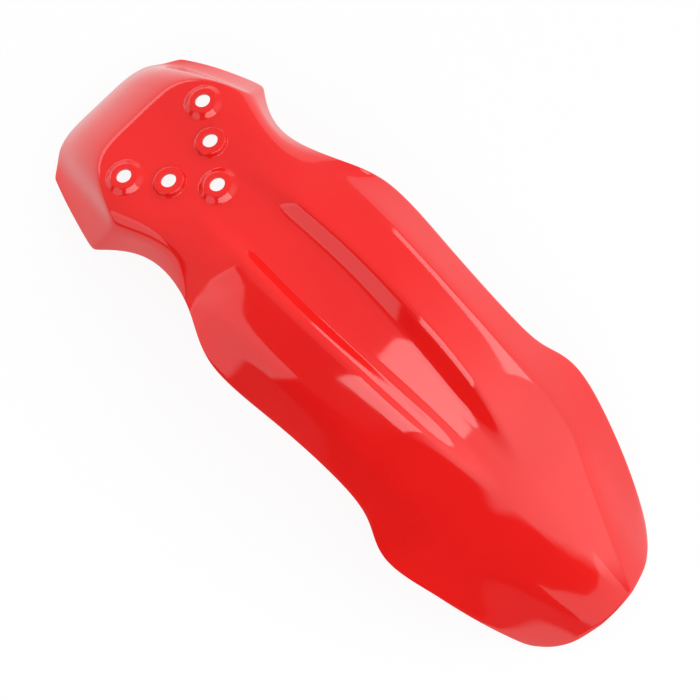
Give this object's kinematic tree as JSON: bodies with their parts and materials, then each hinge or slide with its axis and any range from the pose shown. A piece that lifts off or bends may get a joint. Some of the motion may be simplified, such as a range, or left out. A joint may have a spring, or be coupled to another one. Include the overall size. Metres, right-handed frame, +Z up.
{
  "type": "dirt bike mudguard",
  "caption": "Front mudguard of a dirt bike: an arched plastic shell with a centre channel, turned-down flanks, a rear flap and a mounting plate with raised bolt holes.",
  "frame": {"origin": "under the middle of the mudguard, on the ground it rests on with its nose corners and the lower edge of its flap", "axes": "+X to the nose, +Y to the rider's left, +Z up"},
  "size_m": [0.5862, 0.2084, 0.1553],
  "materials": {
    "red_plastic": "glossy moulded plastic, red right through"
  },
  "bodies": {
    "root": {"mudguard": "red_plastic"}
  },
  "joints": []
}
